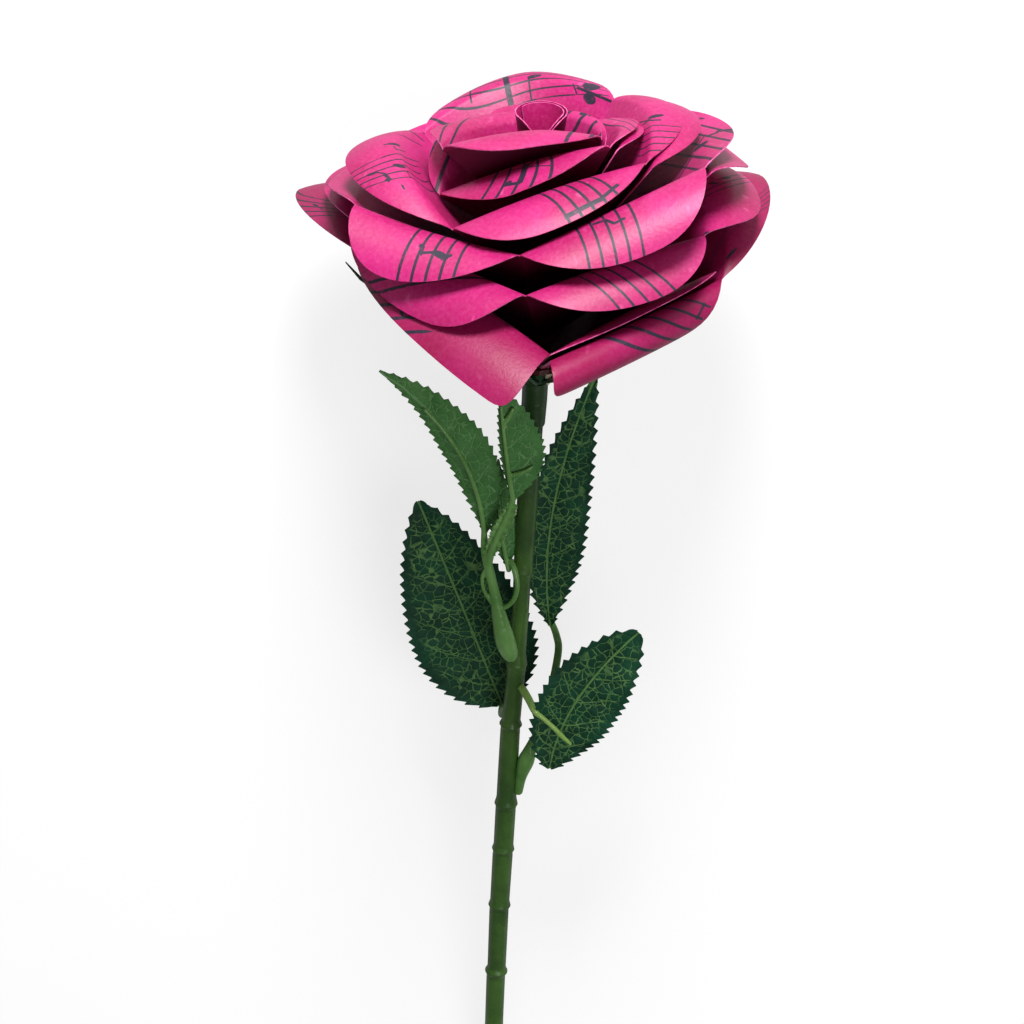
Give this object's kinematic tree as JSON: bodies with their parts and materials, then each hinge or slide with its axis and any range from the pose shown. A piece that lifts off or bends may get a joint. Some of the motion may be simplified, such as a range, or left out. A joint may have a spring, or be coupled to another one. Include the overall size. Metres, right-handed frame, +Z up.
{
  "type": "paper rose",
  "caption": "Paper rose on a moulded plastic stem: nested magenta paper cones printed with music staves, curled lobes, a centre roll and toothed green leaves. Lies on its side.",
  "frame": {"origin": "centre of the part's box in X and Y, at floor height", "axes": "+Y from the stem's cut end to the flower's head, +Z up, +X to the right of the flower as the picture shows it; the flower's front side faces up"},
  "size_m": [0.1044, 0.2936, 0.0934],
  "materials": {
    "printed_paper": "magenta copy paper with dark blue-grey printed staves and notes",
    "plain_paper": "magenta copy paper, plain inside",
    "glue": "cream hot-melt glue, slightly shiny",
    "stem_plastic": "green moulded plastic, semi-gloss",
    "branch_plastic": "lighter green moulded plastic, semi-gloss",
    "leaf_fabric": "dark green printed cloth with a yellow-green net of veins"
  },
  "bodies": {
    "root": {"layer_1": "printed_paper", "layer_2": "printed_paper", "layer_3": "printed_paper", "layer_4": "printed_paper", "layer_5": "printed_paper", "layer_6": "printed_paper", "centre_roll": "plain_paper", "glue_core": "glue", "calyx": "stem_plastic", "stem": "stem_plastic", "branch_left": "branch_plastic", "branch_right": "branch_plastic", "petiole_left": "branch_plastic", "petiole_right": "branch_plastic", "leaf_upper_left": "leaf_fabric", "leaf_middle": "leaf_fabric", "leaf_back": "leaf_fabric", "leaf_big_left": "leaf_fabric", "leaf_tall_right": "leaf_fabric", "leaf_small_right": "leaf_fabric"}
  },
  "joints": []
}
